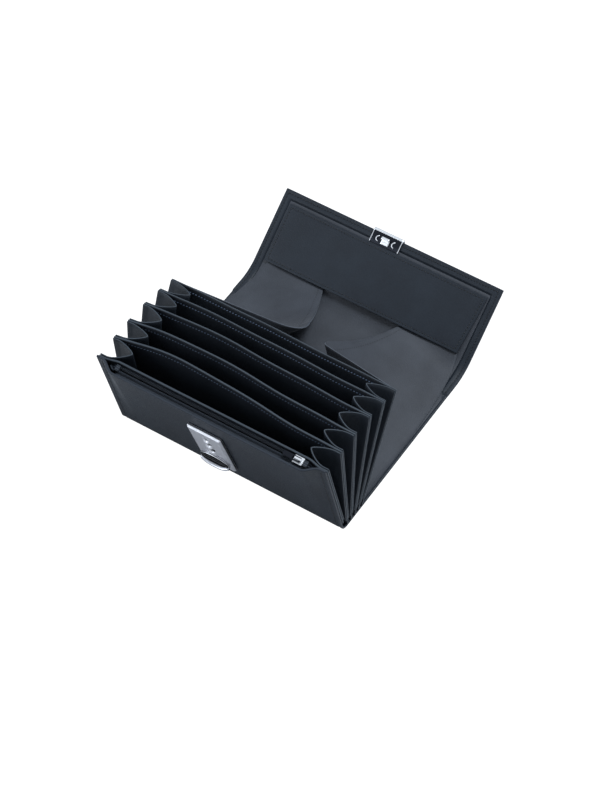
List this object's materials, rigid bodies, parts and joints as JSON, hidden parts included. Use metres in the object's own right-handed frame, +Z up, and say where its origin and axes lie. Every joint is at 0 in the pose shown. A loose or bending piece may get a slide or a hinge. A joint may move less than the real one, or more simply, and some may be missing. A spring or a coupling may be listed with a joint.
{
  "type": "waiter wallet",
  "caption": "Waiter's leather wallet standing open: bellows of note compartments, zip pocket, coin tray, slip pocket on the flap and a metal catch with thumb slide.",
  "frame": {"origin": "middle of the flat underside, halfway between the spine's bend and the flap's bend", "axes": "+X along the spine to the right, +Y from the front panel to the flap, +Z up from the table"},
  "size_m": [0.1801, 0.2468, 0.0942],
  "materials": {
    "cover_leather": "satin",
    "panel_leather": "satin",
    "gusset_leather": "satin",
    "lining_leather": "matte",
    "zip_tape": "woven",
    "zip_coil": "satin",
    "dark_metal": "polished",
    "bright_metal": "polished"
  },
  "bodies": {
    "cover": {"back_lining": "lining_leather", "coin_gusset_left": "gusset_leather", "coin_gusset_right": "gusset_leather", "cover_back": "cover_leather", "divider_1": "panel_leather", "divider_2": "panel_leather", "divider_3": "panel_leather", "divider_4": "panel_leather", "gusset_left_1": "gusset_leather", "gusset_left_2": "gusset_leather", "gusset_left_3": "gusset_leather", "gusset_left_4": "gusset_leather", "gusset_left_5": "gusset_leather", "gusset_right_1": "gusset_leather", "gusset_right_2": "gusset_leather", "gusset_right_3": "gusset_leather", "gusset_right_4": "gusset_leather", "gusset_right_5": "gusset_leather", "lock_backing_plate": "bright_metal", "lock_plate": "bright_metal", "lock_rivet_1": "bright_metal", "lock_rivet_2": "bright_metal", "lock_rivet_3": "bright_metal", "lock_rivet_4": "bright_metal", "rear_panel": "panel_leather", "slide_spring": "bright_metal", "zip_coil_front": "zip_coil", "zip_coil_rear": "zip_coil", "zip_pocket_wall": "panel_leather", "zip_stop_left": "bright_metal", "zip_stop_right": "bright_metal", "zip_tape_front": "zip_tape", "zip_tape_rear": "zip_tape"},
    "flap": {"cover_flap": "cover_leather", "flap_lining": "lining_leather", "flap_pocket": "panel_leather", "flap_clip": "bright_metal", "catch_hook": "bright_metal"},
    "zip_runner": {"zip_slider": "bright_metal"},
    "pull_tab": {"zip_pull": "dark_metal"},
    "thumb": {"thumb_slide": "dark_metal", "slide_keeper": "bright_metal"}
  },
  "joints": [
    {"name": "flap_fold", "type": "hinge", "parent": "cover", "child": "flap", "pos_m": [0, 0.08212, 0.00461], "axis": [1, 0, 0], "range_deg": [-39.5, 70], "deforming": ["coin_gusset_left", "coin_gusset_right"]},
    {"name": "zip_travel", "type": "slide", "parent": "cover", "child": "zip_runner", "axis": [1, 0, 0], "range_m": [-0.138, 0]},
    {"name": "pull_swing", "type": "hinge", "parent": "zip_runner", "child": "pull_tab", "pos_m": [0.07, -0.1026, 0.09141], "axis": [0, 0.9636, 0.2672], "range_deg": [0, 120]},
    {"name": "thumb_press", "type": "slide", "parent": "cover", "child": "thumb", "axis": [0, -0.3361, 0.9418], "range_m": [-0.004, 0], "stiffness_N_per_m": 150, "springref_m": 0.003, "deforming": ["slide_spring"]}
  ]
}
